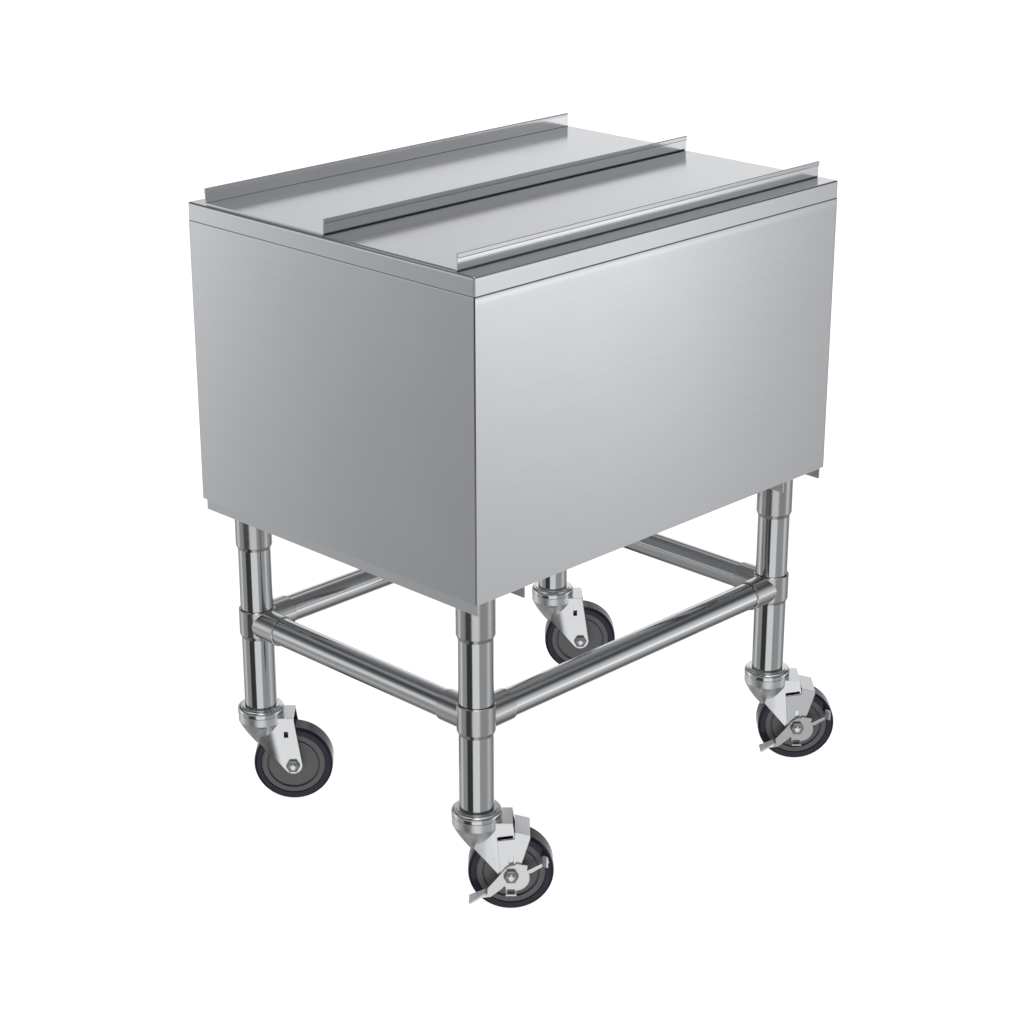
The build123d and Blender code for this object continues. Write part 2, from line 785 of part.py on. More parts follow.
def side_plane(x, y, out=0.0):
    """Plane of the wheel's side, its own X along the trail and Y up, moved out along the axle."""
    plane = Plane(origin=(x, y, 0), x_dir=trail_way, z_dir=-axle_way)
    return plane.offset(out)


def axle_centre(x, y):
    """Middle of the wheel."""
    return Vector(x, y, axle_height) + trail_way * caster_trail


def axle_plane(x, y):
    """Plane through the axle, its own X along the axle and Y up, for turned profiles."""
    return Plane(origin=axle_centre(x, y), x_dir=axle_way, z_dir=trail_way)


def axle_axis(x, y):
    """Axis of the wheel."""
    return Axis(axle_centre(x, y), axle_way)


def ball_track(x, y):
    """Groove that the balls run in, half in the race and half in the crown."""
    with BuildPart() as track:
        with BuildSketch(upright_plane(x, y)):
            with Locations((track_radius, bearing_level)):
                Circle(bearing_ball_radius + track_clearance)
        revolve(axis=Axis((x, y, 0), (0, 0, 1)))
    return track.part


def caster_race(x, y):
    """Upper race with the stem that fills the foot of the leg and the kingpin that holds the fork."""
    stem = leg_diameter / 2 - leg_wall - stem_clearance_in_leg
    top = leg_foot + stem_length
    head_top = crown_under - kingpin_play
    with BuildPart() as race:
        with BuildSketch(upright_plane(x, y)):
            with BuildLine():
                Polyline(
                    (race_radius, leg_foot - race_step - race_round),
                    (race_radius, race_bottom),
                    (kingpin_radius, race_bottom),
                    (kingpin_radius, head_top),
                    (kingpin_head_radius, head_top),
                    (kingpin_head_radius, head_top - kingpin_head),
                    (0, head_top - kingpin_head),
                    (0, top),
                    (stem - stem_chamfer, top),
                    (stem, top - stem_chamfer),
                    (stem, leg_foot),
                    (race_seat_radius, leg_foot),
                    (race_seat_radius, leg_foot - race_step),
                    (race_radius - race_round, leg_foot - race_step),
                )
                RadiusArc(
                    (race_radius - race_round, leg_foot - race_step),
                    (race_radius, leg_foot - race_step - race_round),
                    race_round,
                )
            make_face()
        revolve(axis=Axis((x, y, 0), (0, 0, 1)))
        add(ball_track(x, y), mode=Mode.SUBTRACT)
    return race.part


def horn_block(x, y, shrink):
    """Round crown and the horn that narrows below it, shrunk by the sheet for the hollow."""
    with BuildPart() as horn:
        for drop, back, shift, half_y in (
            (horn_straight, crown_radius, 0, crown_radius),
            (horn_belly_drop, horn_belly_back, horn_belly_shift, fork_outside - horn_belly_sink),
            (horn_length, horn_tip_back, fork_back_x, fork_outside - horn_tip_sink),
        ):
            middle = Vector(x, y, crown_top - drop) + trail_way * shift
            with BuildSketch(Plane(origin=middle, x_dir=trail_way, z_dir=(0, 0, 1))):
                Ellipse(back + shift - shrink, half_y - shrink)
        loft()
        with BuildSketch(Plane.XY.offset(crown_top - horn_straight)):
            with Locations((x, y)):
                Circle(crown_radius - shrink)
        extrude(amount=horn_straight - (crown_thickness if shrink else 0))
    return horn.part


def fork_plate(x, y, side, slotted):
    """One leg plate of the fork, narrowing to a round end at the axle, its back edge turned in."""
    with BuildPart() as plate:
        with BuildSketch(side_plane(x, y, side * fork_inside)):
            with BuildLine():
                Polyline(
                    (fork_back_x, shoulder_top),
                    (caster_trail + fork_reach, shoulder_top),
                    (caster_trail, axle_height),
                    (fork_heel_x, axle_height + fork_heel_rise),
                    close=True,
                )
            make_face()
            with Locations((caster_trail, axle_height)):
                Circle(fork_end_radius)
            make_hull()
            if slotted:
                with BuildLine():
                    Polyline(*bracket_slot(), close=True)
                make_face(mode=Mode.SUBTRACT)
            else:
                with Locations((caster_trail - fork_slot_x, axle_height + fork_slot_rise)):
                    Rectangle(fork_slot_width, fork_slot_height, mode=Mode.SUBTRACT)
        extrude(amount=side * fork_sheet)
        face = side_plane(x, y, side * fork_outside)
        top = face.from_local_coords((crease_top_x, axle_height + crease_top_rise))
        low = face.from_local_coords((crease_low_x, axle_height + crease_low_rise))
        crease = Vector(top) - Vector(low)
        out = axle_way * -side
        behind = (out.cross(crease) * side).normalized()
        normal = out * cos(radians(crease_angle)) + behind * sin(radians(crease_angle))
        split(bisect_by=Plane(origin=top, z_dir=normal), keep=Keep.BOTTOM)
    return plate.part


def bracket_slot():
    """Corners of the slot in a braked fork, along the top edge of the brake bracket."""
    back = caster_trail - bracket_back_x
    front = caster_trail + fork_reach
    level = axle_height + bracket_back_rise
    return [
        (back, level),
        (front, level + bracket_back_fall),
        (front, level + bracket_back_fall + bracket_slot_height),
        (back, level + bracket_slot_height),
    ]


def caster_fork(x, y, slotted):
    """Pressed fork: round crown and horn, a flat shoulder, and two legs astride the wheel."""
    with BuildPart() as fork:
        add(horn_block(x, y, 0))
        add(horn_block(x, y, fork_sheet), mode=Mode.SUBTRACT)
        with BuildSketch(side_plane(x, y)):
            with Locations((fork_back_x, shoulder_top)):
                Rectangle(caster_trail + fork_reach - fork_back_x, fork_sheet, align=(Align.MIN, Align.MAX))
        extrude(amount=fork_outside, both=True)
        for side in (-1, 1):
            add(fork_plate(x, y, side, slotted))
        with BuildSketch(side_plane(x, y)):
            with Locations((caster_trail, axle_height)):
                Circle(wheel_diameter / 2 + wheel_clearance)
        extrude(amount=fork_inside, both=True, mode=Mode.SUBTRACT)
        with BuildSketch(Plane.XY.offset(crown_under)):
            with Locations((x, y)):
                Circle(kingpin_radius + axle_clearance)
        extrude(amount=crown_thickness, mode=Mode.SUBTRACT)
        with BuildSketch(side_plane(x, y)):
            with Locations((caster_trail, axle_height)):
                Circle(bolt_radius + axle_clearance)
        extrude(amount=fork_outside, both=True, mode=Mode.SUBTRACT)
        add(ball_track(x, y), mode=Mode.SUBTRACT)
    return fork.part


def axle_set(x, y, head_out, nut_out):
    """Axle bolt with its nut, and the bushing that the fork clamps and the wheel turns on."""
    axle = (caster_trail, axle_height)
    outward = Axis(axle_centre(x, y), axle_way * -1)
    with BuildPart() as axle_parts:
        with BuildSketch(side_plane(x, y, head_out)):
            with Locations(axle):
                RegularPolygon(bolt_flats / 2, 6, major_radius=False)
        extrude(amount=bolt_head)
        chamfer(axle_parts.faces().sort_by(outward)[-1].edges(), bolt_chamfer)
        with BuildSketch(side_plane(x, y, head_out + bolt_head)):
            with Locations(axle):
                Circle(bolt_radius)
        extrude(amount=bolt_end)
        fillet(axle_parts.faces().sort_by(outward)[-1].edges(), bolt_end_round)
        with BuildSketch(side_plane(x, y, head_out)):
            with Locations(axle):
                Circle(bolt_radius)
        extrude(amount=-(head_out + nut_out + bolt_head))
        with BuildSketch(side_plane(x, y, -nut_out)):
            with Locations(axle):
                RegularPolygon(bolt_flats / 2, 6, major_radius=False)
                Circle(bolt_radius + axle_clearance, mode=Mode.SUBTRACT)
        extrude(amount=-bolt_head)
        with BuildSketch(side_plane(x, y)):
            with Locations(axle):
                Circle(bushing_radius)
                Circle(bolt_radius + axle_clearance, mode=Mode.SUBTRACT)
        extrude(amount=fork_inside, both=True)
    return axle_parts.part


def wheel_core(x, y):
    """Moulded wheel core with a hub, a recessed disc and a groove round each face."""
    bore = bushing_radius + axle_clearance
    face = core_width / 2
    disc = face - disc_recess
    inner = groove_radius - groove_width / 2
    outer = groove_radius + groove_width / 2
    half_profile = [
        (hub_length / 2, bore),
        (hub_length / 2, hub_radius),
        (disc, hub_radius),
        (disc, inner),
        (disc - groove_depth, inner),
        (disc - groove_depth, outer),
        (face, outer),
        (face, core_radius - core_lip),
        (face - core_lip, core_radius),
    ]
    with BuildPart() as core:
        with BuildSketch(axle_plane(x, y)):
            with BuildLine():
                other = [(-a, r) for a, r in reversed(half_profile)]
                Polyline(*half_profile, *other, close=True)
            make_face()
        revolve(axis=axle_axis(x, y))
    return core.part


def wheel_tread(x, y):
    """Polyurethane tread bonded round the core."""
    inside = core_radius + bond_clearance
    height = wheel_diameter / 2 - inside
    with BuildPart() as tread:
        with BuildSketch(axle_plane(x, y)) as profile:
            with Locations((0, inside)):
                Rectangle(wheel_width, height, align=(Align.CENTER, Align.MIN))
            fillet(profile.vertices().group_by(Axis.Y)[-1], tread_round)
        revolve(axis=axle_axis(x, y))
    return tread.part


def brake_bracket(x, y):
    """Saddle over the wheel, bolted outside the fork's legs, that backs the brake lever."""
    near = caster_trail + fork_reach + bracket_bridge_gap
    far = near + bracket_bridge_length
    near_top = axle_height + bracket_bridge_rise
    far_top = near_top - bracket_bridge_fall
    back_top = axle_height + bracket_back_rise
    with BuildPart() as bracket:
        for side in (-1, 1):
            with BuildSketch(side_plane(x, y, side * fork_outside)):
                with BuildLine():
                    Polyline(
                        (caster_trail - bracket_back_x, back_top),
                        (near, back_top + bracket_back_fall),
                        (near, near_top),
                        (far, far_top),
                        (far, far_top - bracket_skirt),
                        (caster_trail + bracket_waist_x, axle_height + bracket_waist_rise),
                        (caster_trail + fork_end_radius, axle_height),
                        (caster_trail - bracket_foot_x, axle_height),
                        close=True,
                    )
                make_face()
                with Locations((caster_trail, axle_height)):
                    Circle(fork_end_radius)
                    Circle(bolt_radius + axle_clearance, mode=Mode.SUBTRACT)
                with Locations((caster_trail, axle_height + bracket_hole_rise)):
                    SlotOverall(bracket_hole_height, bracket_hole_width, rotation=90, mode=Mode.SUBTRACT)
            extrude(amount=side * bracket_sheet)
        with BuildSketch(side_plane(x, y)):
            with BuildLine():
                Polyline(
                    (near, near_top),
                    (far, far_top),
                    (far, far_top - bracket_sheet),
                    (near, near_top - bracket_sheet),
                    close=True,
                )
            make_face()
        extrude(amount=bracket_outside, both=True)
    return bracket.part


def brake_lever(x, y):
    """Rocker on the axle bolt: a pedal low on one arm and a release tab high on the other."""
    back = bracket_outside + brake_gap
    front = back + brake_sheet
    axle = Vector(caster_trail, axle_height)
    along = Vector(-cos(radians(pedal_slope)), -sin(radians(pedal_slope)))
    below = Vector(sin(radians(pedal_slope)), -cos(radians(pedal_slope)))
    bend = axle + Vector(-pedal_bend_x, -pedal_bend_drop)
    tip = bend + along * pedal_length
    ahead = Vector(cos(radians(release_angle)), sin(radians(release_angle)))
    aside = Vector(-sin(radians(release_angle)), cos(radians(release_angle)))
    release_end = axle + ahead * release_length
    with BuildPart() as lever:
        with BuildSketch(side_plane(x, y, back)):
            with Locations(axle + Vector(brake_disc_x, -brake_disc_drop)):
                Circle(brake_disc_radius)
            with BuildLine():
                Polyline(
                    axle + Vector(-pedal_root_x, pedal_root_rise),
                    bend,
                    tip,
                    tip + below * pedal_strip,
                    bend + below * pedal_arm_width,
                    axle + Vector(-pedal_root_x, -pedal_root_drop),
                    axle,
                    close=True,
                )
            make_face()
            with BuildLine():
                Polyline(
                    axle,
                    axle + (ahead + aside) * release_ear_root,
                    axle + ahead * release_ear_x + aside * release_ear_rise,
                    axle + ahead * release_notch_x - aside * release_notch_drop,
                    release_end,
                    release_end - aside * release_tip,
                    axle + ahead * release_ear_x - aside * release_root,
                    close=True,
                )
            make_face()
            with Locations(axle - Vector(0, brake_foot_drop)):
                Rectangle(brake_foot_width, brake_foot_drop, align=(Align.CENTER, Align.MIN))
            with Locations(axle - Vector(0, brake_foot_drop - brake_sheet)):
                Rectangle(
                    brake_foot_width - 2 * brake_sheet,
                    brake_window_height,
                    align=(Align.CENTER, Align.MIN),
                    mode=Mode.SUBTRACT,
                )
            with Locations(axle):
                Circle(bolt_radius + axle_clearance, mode=Mode.SUBTRACT)
        extrude(amount=brake_sheet)
        # foot, a lip bent out along the bottom of the plate
        with BuildSketch(side_plane(x, y, back)):
            with Locations(axle - Vector(0, brake_foot_drop)):
                Rectangle(brake_foot_width, brake_sheet, align=(Align.CENTER, Align.MIN))
        extrude(amount=brake_sheet + brake_foot_depth)
        # pedal, bent out from the upper edge of its arm and widening to the tip
        plane = side_plane(x, y, back)
        pedal_start = plane.from_local_coords(bend)
        pedal_way = plane.from_local_coords(tip) - pedal_start
        pedal_up = plane.from_local_coords(bend - below) - pedal_start
        with BuildSketch(Plane(origin=pedal_start, x_dir=pedal_way, z_dir=pedal_up)):
            with BuildLine():
                Polyline(
                    (0, 0),
                    (pedal_length, 0),
                    (pedal_length, brake_sheet + pedal_depth),
                    (0, brake_sheet + pedal_taper),
                    close=True,
                )
            make_face()
        extrude(amount=-brake_sheet)
        # release tab, a short plate turned out at the end of the other arm
        tab_foot = release_end.Y - 2 * release_tip
        with BuildSketch(Plane(origin=(x, y, tab_foot), x_dir=trail_way, z_dir=(0, 0, 1))):
            with BuildLine():
                reach = release_tab_length
                Polyline(
                    (release_end.X - reach, -back),
                    (release_end.X - reach, -front),
                    (release_end.X - brake_sheet, -front - reach + brake_sheet),
                    (release_end.X, -front - reach + brake_sheet),
                    (release_end.X, -back - reach + brake_sheet),
                    (release_end.X - reach + brake_sheet, -back),
                    close=True,
                )
            make_face()
        extrude(amount=2 * release_tip + release_tab_height)
    return lever.part


for name, (x, y) in corners.items():
    save(caster_race(x, y), f"caster_race_{name}")
    save(caster_fork(x, y, name in braked), f"caster_fork_{name}")
    head_out = fork_outside
    nut_out = fork_outside
    if name in braked:
        save(brake_bracket(x, y), f"brake_bracket_{name}")
        save(brake_lever(x, y), f"brake_lever_{name}")
        head_out = bracket_outside + brake_gap + brake_sheet + bolt_seat_gap
        nut_out = bracket_outside
    save(axle_set(x, y, head_out, nut_out), f"axle_set_{name}")
    save(wheel_core(x, y), f"wheel_core_{name}")
    save(wheel_tread(x, y), f"wheel_tread_{name}")

# Balls of the caster races, one group
with BuildPart() as swivel_balls:
    for x, y in corners.values():
        with Locations((x, y, bearing_level)):
            with PolarLocations(track_radius, balls_per_race):
                Sphere(bearing_ball_radius)
save(swivel_balls.part, "swivel_balls")
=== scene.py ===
from math import degrees, radians

import bpy
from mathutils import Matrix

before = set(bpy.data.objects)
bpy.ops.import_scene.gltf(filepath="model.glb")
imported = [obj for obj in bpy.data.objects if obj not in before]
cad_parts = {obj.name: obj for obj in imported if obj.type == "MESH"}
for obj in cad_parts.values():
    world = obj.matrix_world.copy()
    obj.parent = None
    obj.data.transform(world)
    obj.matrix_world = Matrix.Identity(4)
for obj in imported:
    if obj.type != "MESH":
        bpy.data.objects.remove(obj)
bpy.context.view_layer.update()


# Tank and rim: the inner tank that holds the ice, one piece of welded stainless sheet. Its flat ledge
# is folded down into a short skirt over the panels. The rim is brushed along its length, and the
# drawn inside is left matt.
class Wire:
    """One socket in a node tree. Arithmetic on it adds Math nodes, and node() adds any other node."""

    def __init__(self, tree, socket=None):
        self.tree = tree
        self.socket = socket

    def node(self, kind, settings=None, sockets=None, out=0):
        """Adds a node: its settings first, then its sockets' values or links. Gives one output."""
        made = self.tree.nodes.new("ShaderNode" + kind)
        for setting, value in (settings or {}).items():
            if setting == "stops":
                place_stops(made.color_ramp, value)
            else:
                setattr(made, setting, value)
        set_sockets(made, sockets or {})
        return Wire(self.tree, made.outputs[out])

    def maths(self, operation, first, second):
        """Adds a Math node on two values."""
        return self.node("Math", {"operation": operation}, {0: first, 1: second})

    def __add__(self, other):
        return self.maths("ADD", self, other)

    def __radd__(self, other):
        return self.maths("ADD", other, self)

    def __sub__(self, other):
        return self.maths("SUBTRACT", self, other)

    def __rsub__(self, other):
        return self.maths("SUBTRACT", other, self)

    def __mul__(self, other):
        return self.maths("MULTIPLY", self, other)

    def __rmul__(self, other):
        return self.maths("MULTIPLY", other, self)

    def __truediv__(self, other):
        return self.maths("DIVIDE", self, other)

    def __rtruediv__(self, other):
        return self.maths("DIVIDE", other, self)

    def band(self, start, end, before=0.0, after=1.0):
        """A soft step from one value to another as this wire goes from start to end."""
        return self.node(
            "MapRange",
            {"interpolation_type": "SMOOTHSTEP"},
            {"Value": self, "From Min": start, "From Max": end, "To Min": before, "To Max": after},
        )

    def tint(self, low, high):
        """A colour between two, by this wire's value from 0 to 1."""
        factor, first_colour, second_colour, mixed = 0, 6, 7, 2
        return self.node(
            "Mix", {"data_type": "RGBA"}, {factor: self, first_colour: low, second_colour: high}, out=mixed
        )

    def noise(self, scale, detail):
        """Soft noise over this wire's coordinates, from 0 to 1."""
        return self.node("TexNoise", None, {"Vector": self, "Scale": scale, "Detail": detail})

    def parts(self):
        """The x, y and z of this wire's vector, each as a wire."""
        split = self.node("SeparateXYZ", None, {0: self}).socket.node
        return [Wire(self.tree, output) for output in split.outputs]


def place_stops(ramp, stops):
    """Places a ramp's stops, each a position and a grey."""
    while len(ramp.elements) < len(stops):
        ramp.elements.new(1)
    for element, (position, grey) in zip(ramp.elements, stops):
        element.position = position
        element.color = (grey, grey, grey, 1)


def set_sockets(node, values):
    """Links a node's sockets to wires, or sets the sockets' own values."""
    for key, value in values.items():
        socket = node.inputs[key]
        if isinstance(value, Wire):
            value.tree.links.new(value.socket, socket)
        elif socket.type == "RGBA":
            socket.default_value = (*value, 1)
        else:
            socket.default_value = value


def new_finish(name):
    """A material, its shader node and a wire of its object's own coordinates, in metres."""
    material = bpy.data.materials.new(name)
    material.use_nodes = True
    tree = material.node_tree
    place = Wire(tree).node("TexCoord", out="Object")
    return material, tree.nodes["Principled BSDF"], place


def dress(material, *names):
    """Gives a finish to frame nodes, in each of their material slots."""
    for name in names:
        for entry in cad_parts[name].material_slots:
            entry.material = material


def stretched(place, across, along, axis):
    """Coordinates for grain: fine steps across, long steps along one axis."""
    scale = tuple(1 / (along if letter == axis else across) for letter in "xyz")
    return place.node("VectorMath", {"operation": "MULTIPLY"}, {0: place, 1: scale})


def brushed_steel(name, axis, colour, roughness, relief=None, shade=None, dulled=None):
    """Satin stainless sheet, with fine brushing along one axis and a faint cloudiness of handling."""
    line_width, line_length, line_depth = 0.0006, 0.07, 0.0000008
    streak_width, streak_length = 8 * line_width, 5 * line_length
    rough_range = 0.04
    material, shader, place = new_finish(name)
    brushing = stretched(place, line_width, line_length, axis).noise(scale=1, detail=3)
    streaks = stretched(place, streak_width, streak_length, axis).noise(scale=1, detail=2)
    clouds = place.noise(scale=9, detail=2)
    x, y, z = place.parts()
    dark, light = (tuple(share * part for part in colour) for share in (0.95, 1.03))
    tone = (0.5 * streaks + 0.5 * brushing).tint(dark, light)
    # Where a shade is given, it multiplies the colour with painted shade.
    if shade:
        tone = shade(x, y, z).tint((0, 0, 0), tone)
    rough = roughness - rough_range + rough_range * brushing + rough_range * clouds
    metal = 1
    matt_rough, matt_metal = 0.30, 0.5
    if dulled:
        matt = dulled(x, y, z)
        rough = rough + matt_rough * matt
        metal = 1 - matt_metal * matt
    height = line_depth * brushing
    if relief:
        height = height + relief(x, y, z)
    bump = place.node("Bump", None, {"Height": height, "Strength": 1, "Distance": 1}, out="Normal")
    set_sockets(shader, {"Base Color": tone, "Roughness": rough, "Metallic": metal, "Normal": bump})
    return material


def rolled(level, start, end, slope):
    """Height of a sheet that rolls over between two levels and reaches a slope at the second."""
    share = level.node("MapRange", None, {"Value": level, "From Min": start, "From Max": end})
    return -abs(end - start) * slope / 3 * (share * share * share)


def away(wire, half):
    """How far a place is past the end of a sheet, negative on the sheet."""
    return wire.node("Math", {"operation": "ABSOLUTE"}, {0: wire}) - half


mouth_half_length, mouth_half_depth, mouth_edge = 0.300, 0.226, 0.002
mouth_levels = (0.780, 0.786)


def tank_inside(x, y, z):
    """Share of the matt, drawn inside of the tank, below its mouth."""
    in_length = away(x, mouth_half_length).band(-mouth_edge, mouth_edge, 1, 0)
    in_depth = away(y, mouth_half_depth).band(-mouth_edge, mouth_edge, 1, 0)
    return in_length * in_depth * z.band(*mouth_levels, 1, 0)


rim_top, rim_roll, rim_slope = 0.788, 0.005, 0.45


def rim_fold(x, y, z):
    """Relief of the skirt's top, which rolls over into the ledge."""
    return rolled(z, rim_top - rim_roll, rim_top, rim_slope)


steel_grey = (0.62, 0.63, 0.65)
dress(brushed_steel("tank_steel", "x", steel_grey, 0.20, relief=rim_fold, dulled=tank_inside), "ice_tank")


# Insulation: pale rigid foam with fine closed cells, which keeps the ice cold. It is cut to fill the
# room between the tank and the panels, and the sheets hide it on every side.
foam, shader, place = new_finish("insulation_foam")
cells = place.node("TexVoronoi", None, {"Vector": place, "Scale": 900}, out="Distance")
foam_tone = cells.tint((0.72, 0.66, 0.50), (0.86, 0.81, 0.66))
set_sockets(shader, {"Base Color": foam_tone, "Roughness": 0.9})
dress(foam, "insulation")


# Outer panels and bottom pan: thin satin stainless sheets that close the body. They are rolled over
# under the rim's skirt and meet in tight upright seams at the corners. The front and back are
# brushed across, the ends from front to back.
panel_top, panel_roll, panel_slope = 0.7655, 0.012, 0.14
half_width, half_depth = 0.315, 0.241
seam_start, seam_end = -0.0020, -0.0002
seam_low, seam_high = 0.43, 0.72
seam_low_shade, seam_high_shade = 0.50, 0.18


def painted_seam_shade(reach, level):
    """Painted shade where two sheets meet at an upright corner, stronger towards the top."""
    sheet = reach.band(seam_start, seam_end, 1, 0)
    least = level.band(seam_low, seam_high, seam_low_shade, seam_high_shade)
    return least + (1 - least) * sheet


# Both panel finishes darken the sheets beside their corner seams with painted shade.
front_steel = brushed_steel(
    "front_steel", "x", steel_grey, 0.16,
    relief=lambda x, y, z: rolled(z, panel_top - panel_roll, panel_top, panel_slope),
    shade=lambda x, y, z: painted_seam_shade(away(x, half_width), z),
)
end_steel = brushed_steel(
    "end_steel", "y", steel_grey, 0.20, shade=lambda x, y, z: painted_seam_shade(away(y, half_depth), z)
)
dress(front_steel, "front_panel", "back_panel")
dress(end_steel, "left_end_panel", "right_end_panel")
dress(brushed_steel("pan_steel", "x", steel_grey, 0.36), "bottom_pan")


# Leg channels: folded stainless strips under the body, one at each end, welded to the pan. They carry
# the leg sockets, and their brushing is duller than the panels'.
dress(brushed_steel("channel_steel", "y", steel_grey, 0.33), "left_leg_channel", "right_leg_channel")


# Legs and rails: stainless tube, drawn and then polished along its length, which leaves hair-fine
# lines. The legs stand in the sockets, and the rails run between the corner fittings.
leg_axes = {
    "front_left": (-0.2725, -0.197), "front_right": (0.2725, -0.197),
    "back_left": (-0.2725, 0.197), "back_right": (0.2725, 0.197),
}


def polished_tube(name, axis):
    """Bright drawn tube with faint polishing lines along its length."""
    line_width, line_length = 0.0009, 0.12
    material, shader, place = new_finish(name)
    lines = stretched(place, line_width, line_length, axis).noise(scale=1, detail=3)
    smears = place.noise(scale=24, detail=3)
    tone = lines.tint((0.58, 0.595, 0.61), (0.66, 0.675, 0.69))
    rough = 0.07 + 0.05 * lines + 0.03 * smears
    set_sockets(shader, {"Base Color": tone, "Roughness": rough, "Metallic": 1})
    return material


dress(polished_tube("leg_tube", "z"), *[f"leg_{corner}" for corner in leg_axes])
dress(polished_tube("cross_rail_tube", "x"), "front_rail", "back_rail")
dress(polished_tube("side_rail_tube", "y"), "left_rail", "right_rail")


# Sockets, corner fittings and set screws: satin stainless castings with a turned outside. The sockets
# hold the legs under the channels, and the three-way fittings join the rails to the legs. Small
# screws clamp each of them to its tube.
def turned_fitting(name):
    """Satin casting with fine turning marks."""
    mark_length, mark_pitch = 0.02, 0.0007
    material, shader, place = new_finish(name)
    marks = stretched(place, mark_length, mark_pitch, "z").noise(scale=1, detail=2)
    skin = place.noise(scale=260, detail=3)
    tone = marks.tint((0.56, 0.565, 0.57), (0.63, 0.635, 0.64))
    rough = 0.14 + 0.05 * marks + 0.05 * skin
    set_sockets(shader, {"Base Color": tone, "Roughness": rough, "Metallic": 1})
    return material


dress(turned_fitting("socket_steel"), *[f"leg_socket_{corner}" for corner in leg_axes])
dress(turned_fitting("fitting_steel"), *[f"corner_fitting_{corner}" for corner in leg_axes])
dress(turned_fitting("screw_steel"), "set_screws")


# Casters: pressed steel with a bright, slightly cloudy zinc plating. Each fork turns on a ball race
# whose stem sits in the leg. The back of each fork leg is turned in along a crease, and the axle bolt
# ends in a rounded dome, kept bright while painted shade darkens the bolt's head round it.
zinc_tones = ((0.80, 0.81, 0.83), (0.93, 0.94, 0.95))
race_tones = ((0.66, 0.67, 0.69), (0.80, 0.81, 0.82))
braked_corners = ("front_left", "front_right")
braked_curl, plain_curl, curl_width = 0.04, 0.31, 0.018
crease_top_along, crease_top = 0.0162, 0.1045
crease_low_along, crease_low = 0.0249, 0.0577
fork_leg_top = (0.106, 0.110)
horn_reach, horn_extra = (0.004, 0.014), 0.12
trail, axle_height = 0.04, 0.0508
dome_radius, dome_edge, head_painted_shade = 0.0046, (0.92, 1.12), 0.32


def zinc_plate(
    name, roughness, tones=zinc_tones, edge=0.0006, metal=None, relief=None, shade=None, dulled=None
):
    """Bright zinc plating with faint clouds, its sharp edges rounded as tumbling leaves them."""
    cloud_depth = 0.00002
    material, shader, place = new_finish(name)
    clouds = place.noise(scale=120, detail=4)
    fine = place.noise(scale=900, detail=2)
    tone = clouds.tint(*tones)
    # Where a shade is given, it multiplies the colour with painted shade.
    if shade:
        tone = shade(place).tint((0, 0, 0), tone)
    rough = roughness + 0.08 * clouds + 0.04 * fine
    if dulled:
        rough = rough + dulled(place)
    height = cloud_depth * clouds
    if relief:
        height = height + relief(place)
    round_edge = place.node("Bevel", {"samples": 8}, {"Radius": edge})
    bump = place.node(
        "Bump", None, {"Height": height, "Strength": 1, "Distance": 1, "Normal": round_edge}, out="Normal"
    )
    plating = metal(place) if metal else 1
    set_sockets(shader, {"Base Color": tone, "Roughness": rough, "Metallic": plating, "Normal": bump})
    return material


def caster_place(place, corner):
    """Along the trail from the leg's axis, across it and up, in one caster's own frame."""
    x, y, z = place.parts()
    leg_x, leg_y = leg_axes[corner]
    half = 0.5 ** 0.5
    return half * (x - leg_x) - half * (y - leg_y), half * (x - leg_x) + half * (y - leg_y), z


def fork_crease(corner, curl):
    """Relief of the back of a fork leg, which curls in more and more behind a slanting crease."""

    def relief(place):
        along, _, up = caster_place(place, corner)
        lean = (crease_low_along - crease_top_along) / (crease_top - crease_low)
        behind_crease = crease_top_along + lean * (crease_top - up) - along
        back = place.maths("MAXIMUM", behind_crease, 0)
        return -curl / (2 * curl_width) * (back * back) * up.band(*fork_leg_top, 1, 0)

    return relief


def drawn_horn(corner):
    """Extra roughness of the horn, where the sheet was drawn most."""
    return lambda place: horn_extra * caster_place(place, corner)[0].band(*horn_reach, 1, 0)


def bolt_painted_shade(corner):
    """Painted shade of an axle bolt: its head is painted dark round a bright rounded end."""

    def shade(place):
        along, _, up = caster_place(place, corner)
        reach = (along - trail) * (along - trail) + (up - axle_height) * (up - axle_height)
        start, end = (share * dome_radius ** 2 for share in dome_edge)
        return reach.band(start, end, 1, head_painted_shade)

    return shade


race_zinc = zinc_plate("race_zinc", 0.08, race_tones)
for corner in leg_axes:
    dress(race_zinc, f"caster_race_{corner}")
    curl = braked_curl if corner in braked_corners else plain_curl
    fork_zinc = zinc_plate(
        f"fork_zinc_{corner}", 0.18, edge=0.0012, relief=fork_crease(corner, curl), dulled=drawn_horn(corner)
    )
    dress(fork_zinc, f"caster_fork_{corner}")
    dress(zinc_plate(f"bolt_zinc_{corner}", 0.20, shade=bolt_painted_shade(corner)), f"axle_set_{corner}")
dress(zinc_plate("ball_steel", 0.06), "swivel_balls")


# Wheels: a moulded grey plastic core with a faint speckle, and a tread of dark polyurethane that is
# cast round it. Each wheel turns on the bushing of its fork's axle bolt.
core, shader, place = new_finish("core_plastic")
speckle = place.noise(scale=1400, detail=2)
core_tone = speckle.tint((0.105, 0.108, 0.112), (0.150, 0.153, 0.157))
set_sockets(shader, {"Base Color": core_tone, "Roughness": 0.42 + 0.12 * speckle})
dress(core, *[f"wheel_core_{corner}" for corner in leg_axes])

tread, shader, place = new_finish("tread_rubber")
swirl = place.noise(scale=60, detail=4)
tread_tone = swirl.tint((0.011, 0.006, 0.017), (0.024, 0.013, 0.037))
set_sockets(shader, {"Base Color": tread_tone, "Roughness": 0.10 + 0.08 * swirl, "IOR": 1.42})
dress(tread, *[f"wheel_tread_{corner}" for corner in leg_axes])
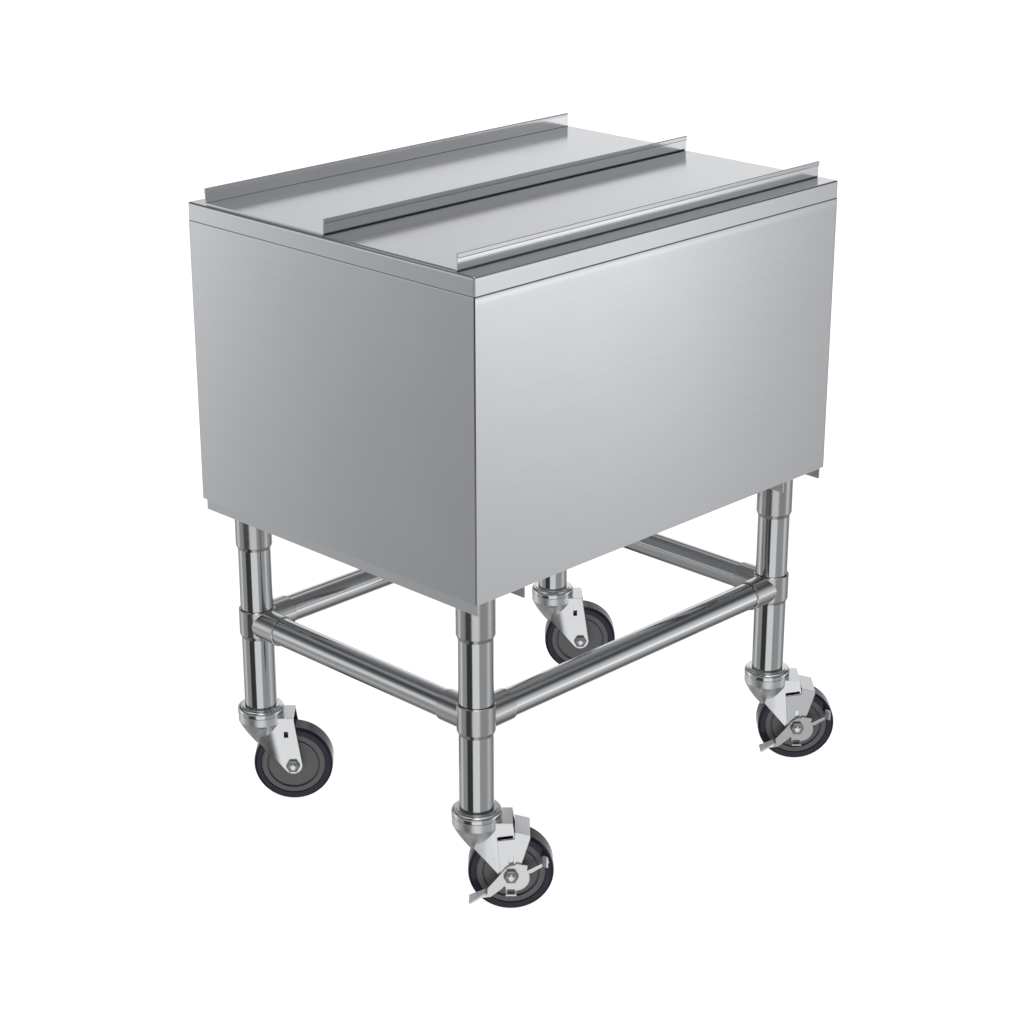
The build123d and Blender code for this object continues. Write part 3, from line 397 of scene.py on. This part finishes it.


# Brakes: zinc-plated steel pressings on the two front casters. A saddle bracket sits over each wheel,
# and a lever rocks beside it on the axle bolt. Its pedal pad is painted pale and matt, a painted
# highlight. On the right-hand pair the lever and the bracket's outer face are painted darker, as painted
# shade.
# The pad's pale, matt colour is a painted highlight on its top.
pad_highlight_tones = ((0.86, 0.86, 0.87), (0.97, 0.97, 0.98))
pad_end, pad_metal = (0.008, 0.011), 0.05
bracket_face = (-0.0219, -0.0214)
# Painted shade: on the right-hand pair the bracket's outer face and the lever are darkened.
painted_shade_tones = {"front_left": (1.0, 0.94), "front_right": (0.68, 0.60)}


def bracket_painted_shade(corner, tone):
    """Painted shade on a bracket's outer face, against 1 on the rest of it."""
    return lambda place: caster_place(place, corner)[1].band(*bracket_face, tone, 1)


def pedal_pad(corner, pad, plate):
    """One value on a pedal's pad, painted pale and matt as a painted highlight, and another on the rest of
    its lever.
    """
    return lambda place: caster_place(place, corner)[0].band(*pad_end, pad, plate)


for corner, (bracket_painted_tone, lever_painted_tone) in painted_shade_tones.items():
    bracket_zinc = zinc_plate(f"bracket_zinc_{corner}", 0.20, shade=bracket_painted_shade(corner, bracket_painted_tone))
    dress(bracket_zinc, f"brake_bracket_{corner}")
    lever_zinc = zinc_plate(
        f"lever_zinc_{corner}", 0.24, pad_highlight_tones,
        shade=pedal_pad(corner, 1, lever_painted_tone), metal=pedal_pad(corner, pad_metal, 1),
    )
    dress(lever_zinc, f"brake_lever_{corner}")


# Covers: two satin stainless sheets with folded and hemmed uprights to hold them by. They lie loose
# on the rim's ledge, and the front one slides back under the rear one.
hem_foot, upright_top = 0.8022, 0.808
back_upright = (0.09, 0.1)
front_hem_tilt, middle_hem_tilt, back_top_slope = 0.06, 0.02, 0.22
# Painted light and shade: the front cover's upright is painted a lighter grey than the rear cover, and its
# flat sheet is painted darker than its upright.
front_cover_lit_grey = (0.72, 0.73, 0.755)
front_sheet_levels, front_sheet_painted_shade = (0.7893, 0.7905), 0.805


def hem(z, tilt):
    """Relief of a hemmed upright, its fold standing out a little more towards the top."""
    return tilt * z.maths("MAXIMUM", z - hem_foot, 0)


def rear_hem(x, y, z):
    """The middle upright has its hem in front, and the back one only its rounded top."""
    rear = y.band(*back_upright)
    back_top = rolled(z, hem_foot, upright_top, back_top_slope)
    return (1 - rear) * hem(z, middle_hem_tilt) + rear * back_top


front_cover_steel = brushed_steel(
    "front_cover_steel", "x", front_cover_lit_grey, 0.15,
    relief=lambda x, y, z: hem(z, front_hem_tilt),
    shade=lambda x, y, z: z.band(*front_sheet_levels, front_sheet_painted_shade, 1),
)
dress(front_cover_steel, "front_cover")
dress(brushed_steel("rear_cover_steel", "x", steel_grey, 0.17, relief=rear_hem), "rear_cover")


# Drain: a stainless cup and strainer let into the tank's floor, and under the body a cast brass ball
# valve with plastic seats. A stainless lever, held by a nut, turns the ball.
drain_steel = brushed_steel("drain_steel", "x", steel_grey, 0.3)
dress(drain_steel, "drain_cup", "drain_strainer", "drain_valve_lever", "drain_lever_nut")

brass, shader, place = new_finish("valve_brass")
cast = place.noise(scale=300, detail=3)
brass_tone = cast.tint((0.46, 0.37, 0.22), (0.55, 0.45, 0.28))
set_sockets(shader, {"Base Color": brass_tone, "Roughness": 0.28 + 0.12 * cast, "Metallic": 1})
dress(brass, "drain_valve_body", "drain_valve_ball")

seat, shader, place = new_finish("seat_plastic")
seat_tone = place.noise(scale=700, detail=2).tint((0.80, 0.80, 0.78), (0.88, 0.88, 0.86))
set_sockets(shader, {"Base Color": seat_tone, "Roughness": 0.4})
dress(seat, "drain_valve_seats")


# Studio: a floor of plain pale paper that the metal doesn't mirror, and soft light all round from
# walls, screens and a lamp. Directions are in degrees: the rise above the horizon, and the turn from
# the bin's right, counter-clockwise. The camera stands at the photograph's angle.
floor_size, floor_drop, floor_glow = 60, -0.0005, 0.96
bpy.ops.mesh.primitive_plane_add(size=floor_size, location=(0, 0, floor_drop))
floor = bpy.context.object
floor.name = "studio_floor"
floor.visible_glossy = False
paper, shader, place = new_finish("floor_paper")
paper_tone = place.noise(scale=40, detail=3).tint((0.38, 0.38, 0.38), (0.40, 0.40, 0.40))
set_sockets(shader, {
    "Base Color": paper_tone, "Roughness": 1, "Specular IOR Level": 0,
    "Emission Color": (1, 1, 1), "Emission Strength": floor_glow,
})
floor.data.materials.append(paper)

world = bpy.data.worlds.new("studio")
bpy.context.scene.world = world
world.use_nodes = True
way = Wire(world.node_tree).node("TexCoord", out="Generated")
x, y, z = way.parts()
rise = way.node("Math", {"operation": "ARCSINE"}, {0: z}) * degrees(1)
turn = way.maths("ARCTAN2", y, x) * degrees(1)
first_turn, last_turn = 45, 405
around = way.node("Math", {"operation": "WRAP"}, {0: turn, 1: last_turn, 2: first_turn})


def ramp_over(wire, low, high, stops):
    """A ramp with its stops given in the wire's own unit."""
    share = (wire - low) / (high - low)
    stops = [((position - low) / (high - low), grey) for position, grey in stops]
    return wire.node("ValToRGB", {"stops": stops}, {0: share})


def patch(heading, low, high, start, end):
    """A soft-edged patch of the studio, between two rises and between two headings."""
    within_rise = rise.band(*low) * rise.band(*high, 1, 0)
    return within_rise * heading.band(*start) * heading.band(*end, 1, 0)


walls = ramp_over(around, first_turn, last_turn, [
    (45, 1.04), (52, 0.94), (64, 0.50), (98, 0.42), (110, 0.62), (125, 0.62), (129, 0.42), (134, 0.37),
    (162, 0.38), (165, 0.05), (201, 0.05), (204, 0.92), (244, 0.95), (250, 0.40), (297, 0.40),
    (305, 0.50), (326, 0.55), (335, 0.45), (355, 0.22), (380, 0.7), (396, 1.18), (405, 1.04),
])
levels = ramp_over(rise, -90, 90, [
    (-90, 0.75), (-62, 0.72), (-54, 0.45), (-48, 0.52), (-42, 0.70), (-30, 0.95), (-10, 1.0), (8, 1.0),
    (14, 0.86), (18, 0.62), (24, 0.32), (30, 0.15), (36, 0.18), (44, 0.60), (55, 0.95), (66, 1.8),
    (90, 3.0),
])
glow_rise = ramp_over(rise, -90, 90, [
    (-40, 0), (-30, 0.12), (-22, 0.24), (-17, 0.60), (-11.5, 1.1), (-8, 0.65), (-3, 0.38), (4, 0.32),
    (9, 0.16), (15, 0.1), (24, 0),
])
glow_turn = ramp_over(around, first_turn, last_turn, [
    (96, 0), (112, 0.35), (119, 0.95), (125, 1.0), (128.5, 0.15), (136, 0.05), (148, 0), (296, 0),
    (305, 0.72), (319.4, 0.98), (321.2, 0.45), (322.8, 0), (332, 0),
])
lamp = patch(turn, (20, 23), (26.5, 28.5), (6, 16), (50, 58))
strip = patch(around, (-12, -6), (6, 16), (126, 130), (138, 148))
curtain = patch(around, (-21.5, -16), (24, 32), (150, 160), (285, 292))
left_fill = patch(around, (-21, -15), (20, 30), (158, 168), (198, 206))
lamp_light, strip_light, curtain_dim, fill_light = 0.75, 0.45, 0.4, 0.30
light = walls * levels + glow_rise * glow_turn + lamp_light * lamp + strip_light * strip
light = light * (1 - curtain_dim * curtain) + fill_light * left_fill
camera_sees = way.node("LightPath", out="Is Camera Ray")
backdrop = camera_sees + (1 - camera_sees) * light
set_sockets(world.node_tree.nodes["Background"], {"Color": (1, 1, 1), "Strength": backdrop})

camera_place, camera_dip, camera_heading = (-1.9544, -1.9031, 1.4282), 21.16, -45.58
sensor_width, focal_pixels, photo_pixels = 36, 2300, 1024
camera = bpy.data.objects.new("camera", bpy.data.cameras.new("camera"))
bpy.context.scene.collection.objects.link(camera)
camera.location = camera_place
camera.rotation_euler = (radians(90 - camera_dip), 0, radians(camera_heading))
camera.data.lens = sensor_width * focal_pixels / photo_pixels
bpy.context.scene.camera = camera
bpy.context.scene.view_settings.view_transform = "Standard"
